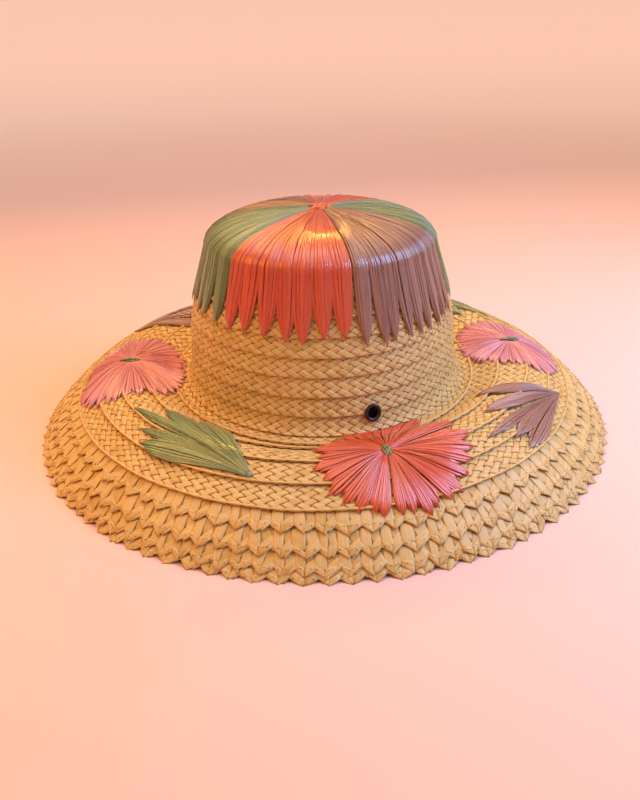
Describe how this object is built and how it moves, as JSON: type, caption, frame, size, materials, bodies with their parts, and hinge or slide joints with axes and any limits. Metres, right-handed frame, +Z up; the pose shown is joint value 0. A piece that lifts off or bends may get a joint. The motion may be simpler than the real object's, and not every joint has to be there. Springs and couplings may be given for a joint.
{
  "type": "straw sun hat",
  "caption": "Round-crowned straw sun hat with a wide downturned scalloped brim, raffia flowers and leaves, eyelets and an inner sweatband.",
  "frame": {"origin": "on the crown's axis, level with the lowest edge of the rim, which the hat rests on", "axes": "+Z up through the middle of the crown; -Y is the front, where the coral flower is; +X is to the right as seen from the front"},
  "size_m": [0.379, 0.3798, 0.1413],
  "materials": {
    "straw": "natural plaited straw, satin on the splints, matt in the weave",
    "coral_raffia": "silky dyed raffia",
    "pink_raffia": "silky dyed raffia",
    "brown_raffia": "silky dyed raffia",
    "green_raffia": "silky dyed raffia",
    "eyelet_metal": "dark satin lacquer on pressed metal",
    "sweatband_cotton": "woven cotton"
  },
  "bodies": {
    "root": {"crown_button": "straw", "crown_row_1": "straw", "crown_row_2": "straw", "crown_row_3": "straw", "crown_row_4": "straw", "crown_row_5": "straw", "crown_row_6": "straw", "crown_row_7": "straw", "crown_row_8": "straw", "crown_row_9": "straw", "crown_row_10": "straw", "crown_row_11": "straw", "crown_row_12": "straw", "crown_row_13": "straw", "crown_row_14": "straw", "brim_row_1": "straw", "brim_row_2": "straw", "brim_row_3": "straw", "brim_row_4": "straw", "brim_row_5": "straw", "scalloped_row_1": "straw", "scalloped_row_2": "straw", "scalloped_row_3": "straw", "rim_row": "straw", "petals_coral_front": "coral_raffia", "petals_coral_back": "coral_raffia", "flower_front": "coral_raffia", "flower_back": "coral_raffia", "crown_knot": "coral_raffia", "flower_left": "pink_raffia", "flower_right": "pink_raffia", "petals_brown_front": "brown_raffia", "petals_brown_back": "brown_raffia", "leaves_brown_right": "brown_raffia", "leaves_brown_left": "brown_raffia", "petals_green_right": "green_raffia", "petals_green_left": "green_raffia", "leaves_green_front": "green_raffia", "leaves_green_back": "green_raffia", "flower_knot_front": "green_raffia", "flower_knot_left": "green_raffia", "flower_knot_right": "green_raffia", "flower_knot_back": "green_raffia", "eyelet_front": "eyelet_metal", "eyelet_back": "eyelet_metal", "eyelet_washer_front": "eyelet_metal", "eyelet_washer_back": "eyelet_metal", "sweatband": "sweatband_cotton"}
  },
  "joints": []
}
